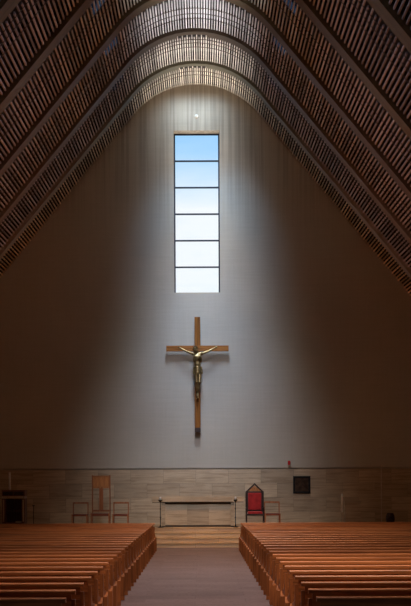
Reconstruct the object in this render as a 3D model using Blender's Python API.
"""Nave and sanctuary end of a modern church, open at the near end.

The tall end wall with its window, the tapering timber vault on seven ribs, the roof with a
glazed ridge, the stepped sanctuary with its furniture, and the pews.
Metres. X is across the nave, +Y runs to the end wall, +Z is up. The origin is at the
middle of the underside. Depths are measured from the inner face of the end wall.
"""

import math

import bmesh
import bpy
from mathutils import Matrix, Vector

# Driving dimensions: building
GAP = 0.0003
CUT_OVER = 0.1
SLAB_T = 0.25
NAVE_LENGTH = 32.6
WALL_T = 0.55
CROWN_Z = 16.93
CROWN_R = 2.97
LEG_SLOPE = 1.21
VAULT_RUN_OUT = 109.89011
ARC_STEPS = 16

# Driving dimensions: vault and roof, as offsets outward from the slatted soffit
RIB_FIRST = 3.925
RIB_PITCH = 4.62
RIB_COUNT = 7
RIB_W = 0.65
RIB_IN = -0.10
RIB_OUT = 0.46
SLAT_T = 0.05
ROOF_T = 0.24
PARAPET = 0.10
WALL_FOOT_IN = 0.35
SKY_DROP = 1.6
SKY_GLASS_AT = 0.12
SKY_GLASS_T = 0.03
BEAM_CLEAR = 0.02
RIDGE_STEPS = 1
KERB_Z = 1.20
KERB_LIP = 0.05

# Driving dimensions: window, dado and wall fittings
WINDOW_W = 1.71
WINDOW_Z0 = 9.20
WINDOW_Z1 = 15.22
WINDOW_PANES = 6
WINDOW_BAR = 0.05
WINDOW_SET_BACK = 0.40
WINDOW_FRAME_T = 0.07
WINDOW_GLASS_T = 0.012
DADO_Z = 2.675
DADO_RECESS = 0.06
DADO_JOINT = 0.045
DADO_SIDE_CLEAR = 0.01
AUMBRY_X = 3.85
AUMBRY_Z = 2.045
AUMBRY_SIZE = 0.64
AUMBRY_T = 0.06
AUMBRY_RIM = 0.07
AUMBRY_PANEL_T = 0.035
LAMP_X = 3.38
LAMP_BRACKET_W = 0.10
LAMP_BRACKET_OUT = 0.16
LAMP_BRACKET_T = 0.03
LAMP_ABOVE_DADO = 0.06
LAMP_CUP = ((0.03, 0.0), (0.05, 0.03), (0.055, 0.16), (0.03, 0.20))
LAMP_CUP_SINK = 0.01

# Driving dimensions: steps, altar and cross
STEP_COUNT = 4
STEP_RISE = 0.155
STEP_GO = 0.35
PLATFORM_DEPTH = 4.05
PLATFORM_HALF_W = 13.0
ALTAR_DEPTH_AT = 3.25
ALTAR_W = 3.16
ALTAR_D = 0.95
ALTAR_H = 1.03
ALTAR_TOP_T = 0.19
ALTAR_BASE_W = 2.47
ALTAR_PIER_W = 0.12
ALTAR_OVERHANG = 0.06
ALTAR_RECESS = 0.09
CANDLESTICK_BESIDE = 0.035
CANDLESTICK_AHEAD = 0.175
CANDLESTICK_H = 0.93
CANDLESTICK_FOOT_R = 0.10
CANDLESTICK_STEM_R = 0.028
CANDLESTICK_DISC_R = 0.08
CANDLESTICK_DISC_T = 0.015
CANDLE_R = 0.035
CANDLE_H = 0.13
CANDLE_TIP_R = 0.008
CANDLE_TIP_H = 0.03
CROSS_Z0 = 4.00
CROSS_Z1 = 8.25
CROSS_ARM_Z = 7.09
CROSS_ARM_W = 2.30
CROSS_TIMBER = 0.21
CROSS_T = 0.12
CROSS_STAND_OFF = 0.20
BLOCK_W = 0.12
BLOCK_H = 0.20
BLOCK_FROM_END = 0.55
BLOCK_SINK = 0.03
FIGURE_OFF_CROSS = 0.05

# Driving dimensions: chairs and pews
CHAIR_AT = 2.0
CHAIR_POST = 0.045
CHAIR_SEAT_T = 0.04
CHAIR_INSET = 0.01
CHAIR_FRONT_POST_OVER = 0.02
CHAIR_RAIL_SET = 0.008
CHAIR_RAIL_T = 0.028
SIDE_CHAIR_X = (-4.18, -2.74, 2.63)
SIDE_CHAIR_W = 0.56
SIDE_CHAIR_D = 0.50
SIDE_CHAIR_SEAT_Z = 0.42
SIDE_CHAIR_H = 0.84
SIDE_RAIL_H = 0.05
SIDE_RAIL_DROP = 0.02
TALL_CHAIR_X = -3.45
TALL_CHAIR_W = 0.67
TALL_CHAIR_D = 0.56
TALL_CHAIR_SEAT_Z = 0.44
TALL_CHAIR_H = 1.80
TALL_PANEL_H = 0.45
TALL_PANEL_DROP = 0.02
TALL_RAIL_UP = 0.06
TALL_RAIL_H = 0.06
TALL_SPLAT_W = 0.14
TALL_SPLAT_T = 0.020
TALL_SPLAT_LAP = 0.04
RED_CHAIR_X = 2.02
RED_CHAIR_W = 0.66
RED_CHAIR_D = 0.60
RED_POST = 0.05
RED_SEAT_Z = 0.40
RED_SEAT_T = 0.06
RED_ARM_Z = 0.64
RED_ARM_T = 0.04
RED_ARM_SET = 0.004
RED_POST_TIP = 0.02
RED_BACK_LOW = 0.46
RED_EAVE_Z = 1.18
RED_EAVE_TO_POST = 0.04
RED_APEX_Z = 1.50
RED_GABLE_RIM = 0.09
RED_BACK_T = 0.03
RED_PAD_LOW = 0.52
RED_PAD_INSET = 0.08
RED_BACK_PAD_T = 0.06
RED_SEAT_PAD_T = 0.10
RED_SEAT_PAD_INSET = 0.06
RED_PAD_TO_PAD = 0.01
PEW_PITCH = 0.95
PEW_SPACE_FRONT = 1.5
PEW_SPACE_BACK = 1.58
PEW_HALF_AISLE = 1.33
PEW_OUTER = 8.0
PEW_H = 0.88
PEW_CAP_H = 0.055
PEW_CAP_D = 0.075
PEW_BACK_D = 0.06
PEW_BACK_LEAN = 0.015
PEW_SEAT_Z = 0.44
PEW_SEAT_D = 0.50
PEW_SEAT_T = 0.035
PEW_BASE_H = 0.05
PEW_BASE_AHEAD = 0.62
PEW_BASE_BEHIND = 0.02
PEW_PANEL_T = 0.045
PEW_PANEL_D = 0.53
PEW_PANEL_LIFT = 0.03
PEW_PANEL_EASE = 0.002
PEW_PANEL_FLAT = 0.11
PEW_PANEL_LOW = 0.57
PEW_CAP_OVER_PANEL = 0.008
PEW_FOOT_H = 0.43
PEW_FOOT_REACH = 0.06
PEW_FOOT_BEHIND = 0.02
PEW_FOOT_APART = 0.07
PEW_FOOT_LIFT = 0.004
PEW_FOOT_INSET = 0.005
PEW_RUN_LAP = 0.02

# Driving dimensions: furniture at the two sides of the sanctuary
CABINET_X = -6.53
CABINET_AT = 1.8
CABINET_W = 0.82
CABINET_D = 0.60
CABINET_H = 1.28
NICHE_SIDE = 0.12
NICHE_LOW = 0.12
NICHE_HEAD = 0.30
NICHE_BACK = 0.08
CABINET_CANDLE_BESIDE = 0.17
CABINET_CANDLE_R = 0.035
CABINET_CANDLE_H = 0.66
STAND_X = -5.83
STAND_AT = 2.0
STAND_H = 0.74
STAND_FOOT_R = 0.10
STAND_STEM_R = 0.016
STAND_PLATE_R = 0.05
STAND_PLATE_T = 0.02
AMBO_X = 5.51
AMBO_AT = 1.7
AMBO_W = 0.58
AMBO_D = 0.40
AMBO_H = 0.86
EASTER_X = 5.08
EASTER_AT = 2.2
EASTER_FOOT_R = 0.12
EASTER_R = 0.045
EASTER_SHAFT_H = 0.90
EASTER_TIP_R = 0.012
EASTER_H = 1.15
POLE_X = 6.56
POLE_AT = 1.6
POLE_H = 2.14
POLE_FOOT_R = 0.14
POLE_R = 0.018
POLE_HEAD_R = 0.03
POLE_HEAD_H = 0.04
POT_X = 6.86
POT_AT = 1.7
POT_H = 0.40
POT_FOOT_R = 0.11
POT_R = 0.16
POT_MOUTH_R = 0.12
POT_SHOULDER = 0.10
FOOT_PLATE_T = 0.03

# Derived positions
PLATFORM_Z = STEP_COUNT * STEP_RISE
Y_WALL = (NAVE_LENGTH + WALL_T) / 2 - WALL_T
STEPS_END = PLATFORM_DEPTH + (STEP_COUNT - 1) * STEP_GO
LEG_ANGLE = math.atan(LEG_SLOPE)
ROOF_IN = RIB_OUT + GAP
ROOF_OUT = ROOF_IN + ROOF_T
WALL_OUT = ROOF_OUT + PARAPET

for old in list(bpy.data.objects):
    bpy.data.objects.remove(old, do_unlink=True)

scene = bpy.context.scene
church = bpy.data.collections.new("modern_church")
helpers = bpy.data.collections.new("cutters_and_joined_solids")
scene.collection.children.link(church)
scene.collection.children.link(helpers)
helpers.hide_render = True


# Materials
def material(name, colour, rough, metallic=0.0, see_through=0.0):
    made = bpy.data.materials.new(name)
    made.use_nodes = True
    shader = made.node_tree.nodes["Principled BSDF"]
    shader.inputs["Base Color"].default_value = (*colour, 1.0)
    shader.inputs["Roughness"].default_value = rough
    shader.inputs["Metallic"].default_value = metallic
    shader.inputs["Transmission Weight"].default_value = see_through
    made.diffuse_color = (*colour, 1.0)
    return made


PAINTS = {
    "paving": material("floor_paving", (0.22, 0.17, 0.16), 0.55),
    "step_stone": material("step_stone", (0.55, 0.43, 0.31), 0.6),
    "plaster": material("wall_plaster", (0.48, 0.47, 0.46), 0.85),
    "travertine": material("dado_travertine", (0.50, 0.42, 0.34), 0.65),
    "dark_frame": material("window_metal", (0.03, 0.035, 0.05), 0.4, 0.6),
    "glass": material("clear_glass", (0.80, 0.90, 0.95), 0.05, 0.0, 1.0),
    "rib_wood": material("rib_timber", (0.30, 0.17, 0.10), 0.6),
    "slat_wood": material("slat_timber", (0.45, 0.34, 0.26), 0.65),
    "concrete": material("side_concrete", (0.42, 0.40, 0.38), 0.9),
    "roofing": material("roof_zinc", (0.28, 0.30, 0.32), 0.45, 0.8),
    "cross_wood": material("cross_oak", (0.42, 0.20, 0.07), 0.5),
    "bronze": material("figure_bronze", (0.30, 0.22, 0.10), 0.35, 1.0),
    "altar_stone": material("altar_stone", (0.58, 0.52, 0.45), 0.5),
    "iron": material("black_iron", (0.02, 0.02, 0.02), 0.5, 0.8),
    "wax": material("candle_wax", (0.85, 0.82, 0.74), 0.5),
    "chair_wood": material("chair_oak", (0.38, 0.20, 0.09), 0.5),
    "dark_wood": material("chair_dark_wood", (0.06, 0.03, 0.02), 0.4),
    "red_cloth": material("red_upholstery", (0.50, 0.02, 0.02), 0.9),
    "aumbry_bronze": material("aumbry_bronze", (0.10, 0.06, 0.03), 0.45, 0.8),
    "red_glass": material("lamp_red_glass", (0.60, 0.02, 0.03), 0.15),
    "cabinet_wood": material("cabinet_wood", (0.16, 0.09, 0.06), 0.5),
    "pale_stone": material("ambo_stone", (0.60, 0.55, 0.48), 0.6),
    "pale_metal": material("pole_metal", (0.55, 0.50, 0.45), 0.35, 0.9),
    "pot_glaze": material("pot_glaze", (0.05, 0.03, 0.05), 0.3),
    "pew_wood": material("pew_oak", (0.50, 0.27, 0.13), 0.45),
}


# Placing: depth d is measured from the end wall towards the open end
def y_at(d):
    return Y_WALL - d


def place(x, d, z):
    return Vector((x, y_at(d), z + SLAB_T))


def scale_at(d):
    return 1.0 - max(d, 0.0) / VAULT_RUN_OUT


# Vault profile
def arc_point(offset, scale, angle):
    radius = CROWN_R * scale + offset
    centre = (CROWN_Z - CROWN_R) * scale
    return radius * math.sin(angle), centre + radius * math.cos(angle)


def leg_point(offset, scale, drop):
    """The point this far down the straight leg from where the crown arc ends."""
    x, z = arc_point(offset, scale, LEG_ANGLE)
    return x + drop * scale * math.cos(LEG_ANGLE), z - drop * scale * math.sin(LEG_ANGLE)


def foot_point(offset, scale, z_foot):
    x, z = arc_point(offset, scale, LEG_ANGLE)
    return x + (z - z_foot) / LEG_SLOPE, z_foot


def crown_arc(offset, scale):
    angles = [LEG_ANGLE * (2 * i / ARC_STEPS - 1) for i in range(ARC_STEPS + 1)]
    return [arc_point(offset, scale, a) for a in angles]


def mirrored(point):
    return -point[0], point[1]


def vault_line(offset, scale, z_foot):
    foot = foot_point(offset, scale, z_foot)
    return [mirrored(foot), *crown_arc(offset, scale), foot]


def skylight_line(offset, scale):
    edge = leg_point(offset, scale, SKY_DROP)
    return [mirrored(edge), *crown_arc(offset, scale), edge]


def roof_line(offset, scale, side):
    points = [foot_point(offset, scale, KERB_Z + GAP), leg_point(offset, scale, SKY_DROP)]
    return [(side * x, z) for x, z in points]


# Making meshes
def finish(name, bm, paint, collection=None):
    bmesh.ops.recalc_face_normals(bm, faces=bm.faces)
    mesh = bpy.data.meshes.new(name)
    bm.to_mesh(mesh)
    bm.free()
    mesh.materials.append(PAINTS[paint])
    obj = bpy.data.objects.new(name, mesh)
    (collection or church).objects.link(obj)
    if collection is helpers:
        obj.hide_render = True
        obj.display_type = "WIRE"
    return obj


def add_box(bm, x0, x1, d0, d1, z0, z1):
    corner_a = place(x0, d1, z0)
    corner_b = place(x1, d0, z1)
    size = corner_b - corner_a
    matrix = Matrix.Translation((corner_a + corner_b) / 2) @ Matrix.Diagonal((*size, 1.0))
    bmesh.ops.create_cube(bm, size=1.0, matrix=matrix)


def boxes(*sizes):
    bm = bmesh.new()
    for size in sizes:
        add_box(bm, *size)
    return bm


def add_prism(bm, near, far):
    """A closed solid between two rings with the same number of points."""
    ring_a = [bm.verts.new(p) for p in near]
    ring_b = [bm.verts.new(p) for p in far]
    bm.faces.new(ring_a)
    bm.faces.new(list(reversed(ring_b)))
    count = len(ring_a)
    for i in range(count):
        j = (i + 1) % count
        bm.faces.new((ring_a[j], ring_a[i], ring_b[i], ring_b[j]))


def across(bm, points, d0, d1):
    """Extrude an (x, z) outline from depth d0 to depth d1."""
    add_prism(bm, [place(x, d0, z) for x, z in points], [place(x, d1, z) for x, z in points])


def along(bm, points, x0, x1):
    """Extrude a (depth, z) outline from x0 to x1."""
    add_prism(bm, [place(x0, d, z) for d, z in points], [place(x1, d, z) for d, z in points])


def shell(name, paint, line, inner, outer, d0, d1):
    """A curved shell between two offsets of the vault, its ends at depths d0 and d1."""
    bm = bmesh.new()
    rows = []
    for d in (d0, d1):
        scale = scale_at(d)
        for offset in (inner, outer):
            rows.append([bm.verts.new(place(x, d, z)) for x, z in line(offset, scale)])
    in_a, out_a, in_b, out_b = rows
    for i in range(len(in_a) - 1):
        j = i + 1
        bm.faces.new((in_a[i], in_a[j], in_b[j], in_b[i]))
        bm.faces.new((out_a[j], out_a[i], out_b[i], out_b[j]))
        bm.faces.new((out_a[i], out_a[j], in_a[j], in_a[i]))
        bm.faces.new((in_b[i], in_b[j], out_b[j], out_b[i]))
    for i in (0, -1):
        bm.faces.new((in_a[i], in_b[i], out_b[i], out_a[i]))
    return finish(name, bm, paint)


def add_rod(bm, start, end, r0, r1, sides=12):
    start = Vector(start)
    end = Vector(end)
    axis = end - start
    turn = axis.to_track_quat("Z", "Y").to_matrix().to_4x4()
    matrix = Matrix.Translation((start + end) / 2) @ turn
    bmesh.ops.create_cone(
        bm, cap_ends=True, segments=sides, radius1=r0, radius2=r1, depth=axis.length, matrix=matrix
    )


def add_turned(bm, x, d, z, rings, sides=16):
    """A turned solid from (radius, height) pairs, stacked from the bottom."""
    loops = []
    for radius, height in rings:
        loop = []
        for i in range(sides):
            turn = 2 * math.pi * i / sides
            spot = place(x + radius * math.cos(turn), d, z + height)
            spot.y += radius * math.sin(turn)
            loop.append(bm.verts.new(spot))
        loops.append(loop)
    bm.faces.new(list(reversed(loops[0])))
    bm.faces.new(loops[-1])
    for low, high in zip(loops, loops[1:]):
        for i in range(sides):
            j = (i + 1) % sides
            bm.faces.new((low[i], low[j], high[j], high[i]))


def boolean(obj, other, kind):
    step = obj.modifiers.new(f"{kind.lower()}_{other.name}", "BOOLEAN")
    step.operation = kind
    step.solver = "EXACT"
    step.object = other


def united(name, paint, first, *others):
    """One closed body from overlapping solids."""
    obj = finish(name, first, paint)
    for number, bm in enumerate(others, 1):
        boolean(obj, finish(f"{name}_joined_{number}", bm, paint, helpers), "UNION")
    return obj


def cut(obj, bm):
    number = len(obj.modifiers) + 1
    cutter = finish(f"{obj.name}_cutter_{number}", bm, "concrete", helpers)
    boolean(obj, cutter, "DIFFERENCE")


# Floor slab, with the plan of the building above it
def half_width(d):
    return foot_point(WALL_OUT, scale_at(d), 0.0)[0]


floor_mesh = bmesh.new()
plan = [(half_width(0.0), -WALL_T), (half_width(0.0), 0.0), (half_width(NAVE_LENGTH), NAVE_LENGTH)]
plan += [(-x, d) for x, d in reversed(plan)]
add_prism(
    floor_mesh,
    [place(x, d, -SLAB_T) for x, d in plan],
    [place(x, d, 0.0) for x, d in plan],
)
finish("nave_floor", floor_mesh, "paving")

# Low side walls: upright inside, and carrying the roof slope down to the floor outside
for side, word in ((-1, "left"), (1, "right")):
    rings = []
    for d in (GAP, NAVE_LENGTH):
        inside = foot_point(RIB_IN, scale_at(d), KERB_Z)[0] - KERB_LIP
        outside_top = foot_point(ROOF_OUT, scale_at(d), KERB_Z)[0]
        outside_low = foot_point(ROOF_OUT, scale_at(d), GAP)[0]
        outline = [(inside, GAP), (outside_low, GAP), (outside_top, KERB_Z), (inside, KERB_Z)]
        rings.append([place(side * x, d, z) for x, z in outline])
    wall_mesh = bmesh.new()
    add_prism(wall_mesh, *rings)
    finish(f"side_wall_{word}", wall_mesh, "concrete")

# End wall with the window opening and a shallow recess for the stone dado
wall_mesh = bmesh.new()
across(wall_mesh, vault_line(WALL_OUT, 1.0, GAP), -WALL_T, 0.0)
end_wall = finish("end_wall", wall_mesh, "plaster")
half_window = WINDOW_W / 2
cut(end_wall, boxes((-half_window, half_window, -WALL_T - CUT_OVER, CUT_OVER, WINDOW_Z0, WINDOW_Z1)))
recess_half = foot_point(RIB_IN, 1.0, DADO_Z)[0] + WALL_FOOT_IN
cut(end_wall, boxes((-recess_half, recess_half, -DADO_RECESS, CUT_OVER, -CUT_OVER, DADO_Z)))

dado_half = recess_half - DADO_SIDE_CLEAR
finish(
    "stone_dado",
    boxes((-dado_half, dado_half, -DADO_RECESS + GAP, 0.0, GAP, DADO_Z - DADO_JOINT)),
    "travertine",
)

# Window frame with equal panes, and one sheet of glass behind its bars
frame_mesh = bmesh.new()
side_x = half_window - GAP
low_z = WINDOW_Z0 + GAP
high_z = WINDOW_Z1 - GAP
front_d = -WINDOW_SET_BACK
back_d = front_d - WINDOW_FRAME_T
add_box(frame_mesh, -side_x, side_x, back_d, front_d, low_z, high_z)
window_frame = finish("window_frame", frame_mesh, "dark_frame")
pane_h = (high_z - low_z - WINDOW_BAR * (WINDOW_PANES + 1)) / WINDOW_PANES
pane_x = side_x - WINDOW_BAR
panes = []
for i in range(WINDOW_PANES):
    z0 = low_z + WINDOW_BAR + i * (pane_h + WINDOW_BAR)
    panes.append((-pane_x, pane_x, back_d - CUT_OVER, front_d + CUT_OVER, z0, z0 + pane_h))
cut(window_frame, boxes(*panes))
glass_d = back_d - GAP
finish(
    "window_glass",
    boxes((-side_x, side_x, glass_d - WINDOW_GLASS_T, glass_d, low_z, high_z)),
    "glass",
)


# Vault: ribs, and the slatted lining between them
def kerb_vault(offset, scale):
    return vault_line(offset, scale, KERB_Z + GAP)


rib_depths = [RIB_FIRST + i * RIB_PITCH for i in range(RIB_COUNT)]
bay_start = GAP
for number, d in enumerate(rib_depths, 1):
    near = d - RIB_W / 2
    far = d + RIB_W / 2
    shell(f"vault_rib_{number}", "rib_wood", kerb_vault, RIB_IN, RIB_OUT, near, far)
    shell(f"slat_lining_{number}", "slat_wood", kerb_vault, 0.0, SLAT_T, bay_start, near - GAP)
    bay_start = far + GAP

# Roof on both sides of the glazed ridge, the ridge beam, and the curved glass over it
for side, word in ((-1, "left"), (1, "right")):
    shell(
        f"roof_{word}",
        "roofing",
        lambda offset, scale, side=side: roof_line(offset, scale, side),
        ROOF_IN,
        ROOF_OUT,
        GAP,
        NAVE_LENGTH,
    )


def ridge_line(offset, scale):
    middle = ARC_STEPS // 2
    return crown_arc(offset, scale)[middle - RIDGE_STEPS : middle + RIDGE_STEPS + 1]


def glass_line(offset, scale):
    clear = GAP / scale
    edge = leg_point(offset, scale, SKY_DROP - clear)
    return [mirrored(edge), *crown_arc(offset, scale), edge]


glass_in = ROOF_IN + SKY_GLASS_AT
beam_out = glass_in - BEAM_CLEAR
shell("ridge_beam", "rib_wood", ridge_line, ROOF_IN, beam_out, GAP, NAVE_LENGTH)
glass_out = glass_in + SKY_GLASS_T
shell("ridge_glass", "glass", glass_line, glass_in, glass_out, GAP, NAVE_LENGTH)

# Sanctuary steps and platform in one stepped solid
step_mesh = bmesh.new()
outline = [(GAP, GAP), (GAP, PLATFORM_Z)]
for i in range(STEP_COUNT):
    front = PLATFORM_DEPTH + i * STEP_GO
    outline.append((front, PLATFORM_Z - i * STEP_RISE))
    outline.append((front, max(PLATFORM_Z - (i + 1) * STEP_RISE, GAP)))
along(step_mesh, outline, -PLATFORM_HALF_W, PLATFORM_HALF_W)
finish("sanctuary_steps", step_mesh, "step_stone")

# Altar: a thick top on a base with a proud pier at each end
deck = PLATFORM_Z + GAP
altar_front = ALTAR_DEPTH_AT + ALTAR_D / 2
altar_back = ALTAR_DEPTH_AT - ALTAR_D / 2
top_z0 = PLATFORM_Z + ALTAR_H - ALTAR_TOP_T
half_altar = ALTAR_W / 2
top_mesh = boxes((-half_altar, half_altar, altar_back, altar_front, top_z0, PLATFORM_Z + ALTAR_H))
finish("altar_top", top_mesh, "altar_stone")
half_base = ALTAR_BASE_W / 2
base_front = altar_front - ALTAR_OVERHANG
base_back = altar_back + ALTAR_OVERHANG
base_box = (-half_base, half_base, base_back, base_front, deck, top_z0 - GAP)
altar_base = finish("altar_base", boxes(base_box), "altar_stone")
panel_x = half_base - ALTAR_PIER_W
for near, far in (
    (base_front - ALTAR_RECESS, base_front + CUT_OVER),
    (base_back - CUT_OVER, base_back + ALTAR_RECESS),
):
    cut(altar_base, boxes((-panel_x, panel_x, near, far, deck - CUT_OVER, top_z0)))

# Candlesticks at the ends of the altar base, and their candles
stick_x = half_base + CANDLESTICK_BESIDE
stick_at = altar_front + CANDLESTICK_AHEAD
disc_z = CANDLESTICK_H - CANDLESTICK_DISC_T
for side, word in ((-1, "left"), (1, "right")):
    stick = bmesh.new()
    rings = [
        (CANDLESTICK_FOOT_R, 0.0),
        (CANDLESTICK_FOOT_R, CANDLESTICK_DISC_T),
        (CANDLESTICK_STEM_R, 2 * CANDLESTICK_DISC_T),
        (CANDLESTICK_STEM_R, disc_z - CANDLESTICK_DISC_T),
        (CANDLESTICK_DISC_R, disc_z),
        (CANDLESTICK_DISC_R, CANDLESTICK_H),
    ]
    add_turned(stick, side * stick_x, stick_at, deck, rings)
    finish(f"candlestick_{word}", stick, "iron")
    candle = bmesh.new()
    rings = [(CANDLE_R, 0.0), (CANDLE_R, CANDLE_H - CANDLE_TIP_H), (CANDLE_TIP_R, CANDLE_H)]
    add_turned(candle, side * stick_x, stick_at, deck + CANDLESTICK_H + GAP, rings)
    finish(f"altar_candle_{word}", candle, "wax")

# Cross standing off the wall on two blocks
half_timber = CROSS_TIMBER / 2
cross_back = CROSS_STAND_OFF
cross_front = CROSS_STAND_OFF + CROSS_T
half_arm = CROSS_ARM_W / 2
arm_low = CROSS_ARM_Z - half_timber
arm_high = CROSS_ARM_Z + half_timber
outline = [
    (-half_timber, CROSS_Z0),
    (half_timber, CROSS_Z0),
    (half_timber, arm_low),
    (half_arm, arm_low),
    (half_arm, arm_high),
    (half_timber, arm_high),
    (half_timber, CROSS_Z1),
    (-half_timber, CROSS_Z1),
    (-half_timber, arm_high),
    (-half_arm, arm_high),
    (-half_arm, arm_low),
    (-half_timber, arm_low),
]
cross_mesh = bmesh.new()
across(cross_mesh, outline, cross_back, cross_front)
blocks = bmesh.new()
for block_z in (CROSS_Z0 + BLOCK_FROM_END, CROSS_Z1 - BLOCK_FROM_END - BLOCK_H):
    add_box(
        blocks, -BLOCK_W / 2, BLOCK_W / 2, GAP, cross_back + BLOCK_SINK, block_z, block_z + BLOCK_H
    )
united("wall_cross", "cross_wood", cross_mesh, blocks)


# Figure on the cross: a plain stand-in in the same posture, hung from the arm of the cross
def on_cross(x, out, up):
    return place(x, cross_front + FIGURE_OFF_CROSS + out, CROSS_ARM_Z + up)


torso = bmesh.new()
add_rod(torso, on_cross(0.0, 0.13, -0.95), on_cross(0.0, 0.15, -0.25), 0.115, 0.165, 16)
head = bmesh.new()
head_at = Matrix.Translation(on_cross(-0.05, 0.20, -0.06))
bmesh.ops.create_icosphere(
    head, subdivisions=2, radius=1.0, matrix=head_at @ Matrix.Diagonal((0.092, 0.10, 0.13, 1))
)
neck = bmesh.new()
add_rod(neck, on_cross(0.0, 0.15, -0.33), on_cross(-0.05, 0.19, -0.09), 0.07, 0.06)
legs = bmesh.new()
add_rod(legs, on_cross(0.0, 0.12, -0.79), on_cross(0.02, 0.17, -1.37), 0.145, 0.115, 14)
shins = bmesh.new()
add_rod(shins, on_cross(0.02, 0.17, -1.29), on_cross(-0.02, 0.085, -1.89), 0.115, 0.075, 14)
forearms = bmesh.new()
upper_arms = bmesh.new()
for side in (-1, 1):
    elbow = on_cross(side * 0.44, 0.13, -0.16)
    lap = on_cross(side * 0.40, 0.13, -0.17)
    add_rod(forearms, lap, on_cross(side * 0.72, 0.06, 0.04), 0.045, 0.032)
    add_rod(upper_arms, on_cross(side * 0.10, 0.15, -0.29), elbow, 0.06, 0.05)
pin_start = cross_front + GAP
hip_pin_end = cross_front + 0.16
foot_pin_end = cross_front + 0.13
pins = boxes(
    (-0.05, 0.05, pin_start, hip_pin_end, CROSS_ARM_Z - 0.59, CROSS_ARM_Z - 0.49),
    (-0.05, 0.01, pin_start, foot_pin_end, CROSS_ARM_Z - 1.85, CROSS_ARM_Z - 1.77),
)
united("cross_figure", "bronze", torso, head, neck, legs, shins, upper_arms, forearms, pins)


# Wall aumbry, and the lamp on its bracket above the dado
def square_on_wall(half, near, far):
    x0, x1 = AUMBRY_X - half, AUMBRY_X + half
    return boxes((x0, x1, near, far, AUMBRY_Z - half, AUMBRY_Z + half))


aumbry = finish("wall_aumbry", square_on_wall(AUMBRY_SIZE / 2, GAP, AUMBRY_T), "aumbry_bronze")
inner_half = AUMBRY_SIZE / 2 - AUMBRY_RIM
cut(aumbry, square_on_wall(inner_half, AUMBRY_PANEL_T, AUMBRY_T + CUT_OVER))

bracket_z = DADO_Z + LAMP_ABOVE_DADO
bracket_top = bracket_z + LAMP_BRACKET_T
bracket_half = LAMP_BRACKET_W / 2
bracket = boxes(
    (LAMP_X - bracket_half, LAMP_X + bracket_half, GAP, LAMP_BRACKET_OUT, bracket_z, bracket_top)
)
cup = bmesh.new()
cup_radius = max(radius for radius, _ in LAMP_CUP)
cup_at = LAMP_BRACKET_OUT - cup_radius - 0.015
add_turned(cup, LAMP_X, cup_at, bracket_top - LAMP_CUP_SINK, LAMP_CUP, 12)
united("sanctuary_lamp", "red_glass", bracket, cup)


# Chairs: seat, then posts, then rails, so that each set overlaps only the one before
def chair(name, x, width, depth, seat_z, height, rails, *more):
    """Rails are (bottom, top) heights across the back; more holds solids joined after them."""
    left, right = x - width / 2, x + width / 2
    front = CHAIR_AT + depth / 2
    back = CHAIR_AT - depth / 2
    in_left, in_right = left + CHAIR_INSET, right - CHAIR_INSET
    seat_top = PLATFORM_Z + seat_z
    seat = (in_left, in_right, back + CHAIR_INSET, front - CHAIR_INSET)
    seat_mesh = boxes((*seat, seat_top - CHAIR_SEAT_T, seat_top))
    posts = bmesh.new()
    for x0 in (left, right - CHAIR_POST):
        x1 = x0 + CHAIR_POST
        add_box(posts, x0, x1, back, back + CHAIR_POST, deck, PLATFORM_Z + height)
        front_top = seat_top + CHAIR_FRONT_POST_OVER
        add_box(posts, x0, x1, front - CHAIR_POST, front, deck, front_top)
    rail_near = back + CHAIR_RAIL_SET
    rail_far = rail_near + CHAIR_RAIL_T
    rail_mesh = bmesh.new()
    for low, high in rails:
        add_box(
            rail_mesh, in_left, in_right, rail_near, rail_far, PLATFORM_Z + low, PLATFORM_Z + high
        )
    return united(name, "chair_wood", seat_mesh, posts, rail_mesh, *more)


side_rail_top = SIDE_CHAIR_H - SIDE_RAIL_DROP
for number, x in enumerate(SIDE_CHAIR_X, 1):
    chair(
        f"side_chair_{number}",
        x,
        SIDE_CHAIR_W,
        SIDE_CHAIR_D,
        SIDE_CHAIR_SEAT_Z,
        SIDE_CHAIR_H,
        [(side_rail_top - SIDE_RAIL_H, side_rail_top)],
    )

panel_top = TALL_CHAIR_H - TALL_PANEL_DROP
panel_low = panel_top - TALL_PANEL_H
rail_low = TALL_CHAIR_SEAT_Z + TALL_RAIL_UP
splat_near = CHAIR_AT - TALL_CHAIR_D / 2 + CHAIR_RAIL_SET + 0.004
splat_box = (
    TALL_CHAIR_X - TALL_SPLAT_W / 2,
    TALL_CHAIR_X + TALL_SPLAT_W / 2,
    splat_near,
    splat_near + TALL_SPLAT_T,
    PLATFORM_Z + rail_low + TALL_RAIL_H - TALL_SPLAT_LAP,
    PLATFORM_Z + panel_low + TALL_SPLAT_LAP,
)
chair(
    "tall_chair",
    TALL_CHAIR_X,
    TALL_CHAIR_W,
    TALL_CHAIR_D,
    TALL_CHAIR_SEAT_Z,
    TALL_CHAIR_H,
    [(panel_low, panel_top), (rail_low, rail_low + TALL_RAIL_H)],
    boxes(splat_box),
)

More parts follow.
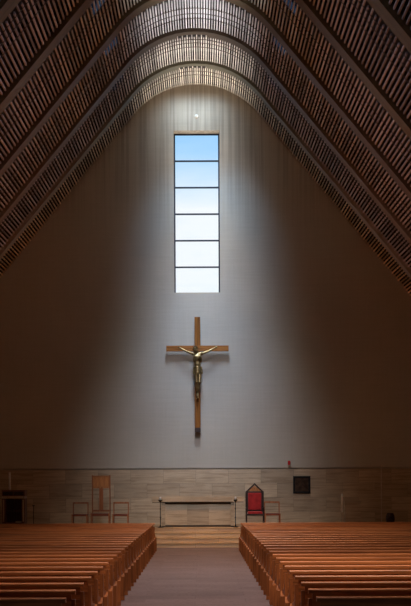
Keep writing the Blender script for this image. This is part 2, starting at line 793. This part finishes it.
# Red chair: dark frame with arms and a gabled back, and two loose cushions
red_left = RED_CHAIR_X - RED_CHAIR_W / 2
red_right = RED_CHAIR_X + RED_CHAIR_W / 2
red_back = CHAIR_AT - RED_CHAIR_D / 2
red_front = CHAIR_AT + RED_CHAIR_D / 2
red_seat_top = PLATFORM_Z + RED_SEAT_Z
red_arm_top = PLATFORM_Z + RED_ARM_Z
gable_eave = PLATFORM_Z + RED_EAVE_Z
gable_top = PLATFORM_Z + RED_APEX_Z
seat_mesh = boxes(
    (
        red_left + CHAIR_INSET,
        red_right - CHAIR_INSET,
        red_back + CHAIR_INSET,
        red_front - CHAIR_INSET,
        red_seat_top - RED_SEAT_T,
        red_seat_top,
    )
)
posts = bmesh.new()
arm_rails = bmesh.new()
arm_near, arm_far = red_back + RED_POST_TIP, red_front - RED_POST_TIP
for x0 in (red_left, red_right - RED_POST):
    x1 = x0 + RED_POST
    add_box(posts, x0, x1, red_back, red_back + RED_POST, deck, gable_eave + RED_EAVE_TO_POST)
    add_box(posts, x0, x1, red_front - RED_POST, red_front, deck, red_arm_top + RED_POST_TIP)
    arm_x0, arm_x1 = x0 + RED_ARM_SET, x1 - RED_ARM_SET
    add_box(arm_rails, arm_x0, arm_x1, arm_near, arm_far, red_arm_top - RED_ARM_T, red_arm_top)
gable = bmesh.new()
gable_left, gable_right = red_left + RED_POST_TIP, red_right - RED_POST_TIP
outline = [
    (gable_left, PLATFORM_Z + RED_BACK_LOW),
    (gable_right, PLATFORM_Z + RED_BACK_LOW),
    (gable_right, gable_eave),
    (RED_CHAIR_X, gable_top),
    (gable_left, gable_eave),
]
gable_near = red_back + CHAIR_INSET
gable_far = gable_near + RED_BACK_T
across(gable, outline, gable_near, gable_far)
red_frame = united("red_chair_frame", "dark_wood", seat_mesh, posts, arm_rails, gable)
opening = bmesh.new()
opening_low = gable_eave + RED_POST_TIP
outline = [
    (red_left + RED_GABLE_RIM, opening_low),
    (red_right - RED_GABLE_RIM, opening_low),
    (RED_CHAIR_X, gable_top - RED_GABLE_RIM),
]
across(opening, outline, red_back - CUT_OVER, red_back + CUT_OVER)
cut(red_frame, opening)
back_pad_far = gable_far + RED_BACK_PAD_T
back_pad = (
    red_left + RED_PAD_INSET,
    red_right - RED_PAD_INSET,
    gable_far + GAP,
    back_pad_far,
    PLATFORM_Z + RED_PAD_LOW,
    gable_eave - RED_POST_TIP,
)
finish("red_chair_back_pad", boxes(back_pad), "red_cloth")
seat_pad = (
    red_left + RED_SEAT_PAD_INSET,
    red_right - RED_SEAT_PAD_INSET,
    back_pad_far + RED_PAD_TO_PAD,
    red_front - RED_SEAT_PAD_INSET,
    red_seat_top + GAP,
    red_seat_top + RED_SEAT_PAD_T,
)
finish("red_chair_seat_pad", boxes(seat_pad), "red_cloth")

# Display cabinet with an open niche, and the candle on it
cabinet_left = CABINET_X - CABINET_W / 2
cabinet_right = CABINET_X + CABINET_W / 2
cabinet_back = CABINET_AT - CABINET_D / 2
cabinet_front = CABINET_AT + CABINET_D / 2
cabinet_top = PLATFORM_Z + CABINET_H
cabinet_box = (cabinet_left, cabinet_right, cabinet_back, cabinet_front, deck, cabinet_top)
cabinet = finish("display_cabinet", boxes(cabinet_box), "cabinet_wood")
niche = (
    cabinet_left + NICHE_SIDE,
    cabinet_right - NICHE_SIDE,
    cabinet_back + NICHE_BACK,
    cabinet_front + CUT_OVER,
    PLATFORM_Z + NICHE_LOW,
    cabinet_top - NICHE_HEAD,
)
cut(cabinet, boxes(niche))
candle = bmesh.new()
candle_x = CABINET_X - CABINET_CANDLE_BESIDE
rings = [(CABINET_CANDLE_R, 0.0), (CABINET_CANDLE_R, CABINET_CANDLE_H)]
add_turned(candle, candle_x, CABINET_AT, cabinet_top + GAP, rings)
finish("cabinet_candle", candle, "wax")

# Slim stand, ambo, large standing candle, tall pole and floor pot
stand = bmesh.new()
rings = [
    (STAND_FOOT_R, 0.0),
    (STAND_FOOT_R, STAND_PLATE_T),
    (STAND_STEM_R, FOOT_PLATE_T),
    (STAND_STEM_R, STAND_H - 2 * STAND_PLATE_T),
    (STAND_PLATE_R, STAND_H - STAND_PLATE_T),
    (STAND_PLATE_R, STAND_H),
]
add_turned(stand, STAND_X, STAND_AT, deck, rings, 12)
finish("slim_stand", stand, "iron")

ambo_x0, ambo_x1 = AMBO_X - AMBO_W / 2, AMBO_X + AMBO_W / 2
ambo_near, ambo_far = AMBO_AT - AMBO_D / 2, AMBO_AT + AMBO_D / 2
ambo = boxes((ambo_x0, ambo_x1, ambo_near, ambo_far, deck, PLATFORM_Z + AMBO_H))
finish("ambo", ambo, "pale_stone")

easter = bmesh.new()
rings = [
    (EASTER_FOOT_R, 0.0),
    (EASTER_FOOT_R, FOOT_PLATE_T),
    (EASTER_R, FOOT_PLATE_T + 0.02),
    (EASTER_R, EASTER_SHAFT_H),
    (EASTER_R - 0.015, EASTER_SHAFT_H + 0.02),
    (EASTER_TIP_R, EASTER_H),
]
add_turned(easter, EASTER_X, EASTER_AT, deck, rings)
finish("easter_candle", easter, "wax")

pole = bmesh.new()
rings = [
    (POLE_FOOT_R, 0.0),
    (POLE_FOOT_R, FOOT_PLATE_T),
    (POLE_R, FOOT_PLATE_T + 0.02),
    (POLE_R, POLE_H - POLE_HEAD_H - 0.02),
    (POLE_HEAD_R, POLE_H - POLE_HEAD_H),
    (POLE_HEAD_R, POLE_H),
]
add_turned(pole, POLE_X, POLE_AT, deck, rings, 12)
finish("tall_pole", pole, "pale_metal")

pot = bmesh.new()
rings = [
    (POT_FOOT_R, 0.0),
    (POT_R, POT_SHOULDER),
    (POT_R, POT_H - POT_SHOULDER),
    (POT_MOUTH_R, POT_H),
]
add_turned(pot, POT_X, POT_AT, deck, rings)
finish("floor_pot", pot, "pot_glaze")


# Pews: a run of rows is one outline of base board, seats and backs, joined by end panels
def pew_outline(rows):
    """Counter-clockwise (depth, z) outline; rows are depths of the back's rear face."""
    start = rows[0] - PEW_BASE_AHEAD
    end = rows[-1] + PEW_BASE_BEHIND
    points = [(start, GAP), (end, GAP), (end, PEW_BASE_H)]
    for rear in reversed(rows):
        back_front = rear - PEW_BACK_D
        seat_edge = rear - PEW_SEAT_D
        points += [
            (rear - 2 * PEW_BACK_LEAN, PEW_BASE_H),
            (rear - PEW_BACK_LEAN, PEW_H - PEW_CAP_H),
            (rear, PEW_H - PEW_CAP_H),
            (rear, PEW_H),
            (rear - PEW_CAP_D, PEW_H),
            (back_front, PEW_SEAT_Z),
            (seat_edge, PEW_SEAT_Z),
            (seat_edge, PEW_SEAT_Z - PEW_SEAT_T),
            (back_front, PEW_SEAT_Z - PEW_SEAT_T),
            (back_front, PEW_BASE_H),
        ]
    points.append((start, PEW_BASE_H))
    return points


def end_panel(rear):
    panel_rear = rear - PEW_PANEL_EASE
    panel_top = PEW_H - PEW_CAP_OVER_PANEL
    panel_front = rear - PEW_PANEL_D
    return [
        (panel_rear, PEW_PANEL_LIFT),
        (panel_rear, panel_top),
        (rear - PEW_PANEL_FLAT, panel_top),
        (panel_front, PEW_PANEL_LOW),
        (panel_front, PEW_PANEL_LIFT),
    ]


def end_foot(rear):
    """The broad lower part of an end on the aisle, nearly as deep as the pitch of the rows."""
    foot_rear = rear - PEW_FOOT_BEHIND
    foot_front = foot_rear - PEW_PITCH + PEW_FOOT_APART
    return [
        (foot_rear, PEW_FOOT_LIFT),
        (foot_rear, PEW_FOOT_H),
        (foot_front, PEW_FOOT_H),
        (foot_front, PEW_FOOT_LIFT),
    ]


last_rear = NAVE_LENGTH - PEW_SPACE_BACK
first_rear_least = STEPS_END + PEW_SPACE_FRONT + PEW_BASE_AHEAD
row_count = int((last_rear - first_rear_least) / PEW_PITCH) + 1
rows_at = [last_rear - i * PEW_PITCH for i in range(row_count)][::-1]
front_count = row_count // 2
runs = (("front", rows_at[:front_count]), ("back", rows_at[front_count:]))
run_start, run_end = PEW_HALF_AISLE + PEW_RUN_LAP, PEW_OUTER - PEW_RUN_LAP
foot_from = PEW_HALF_AISLE - PEW_FOOT_REACH
foot_to = PEW_HALF_AISLE + PEW_PANEL_T - PEW_FOOT_INSET
for side, word in ((-1, "left"), (1, "right")):
    for end_word, rows in runs:
        run_mesh = bmesh.new()
        along(run_mesh, pew_outline(rows), *sorted((side * run_start, side * run_end)))
        panels = bmesh.new()
        for inner_x in (PEW_HALF_AISLE, PEW_OUTER - PEW_PANEL_T):
            ends = sorted((side * inner_x, side * (inner_x + PEW_PANEL_T)))
            for rear in rows:
                along(panels, end_panel(rear), *ends)
        feet = bmesh.new()
        for rear in rows:
            along(feet, end_foot(rear), *sorted((side * foot_from, side * foot_to)))
        united(f"pews_{word}_{end_word}", "pew_wood", run_mesh, panels, feet)
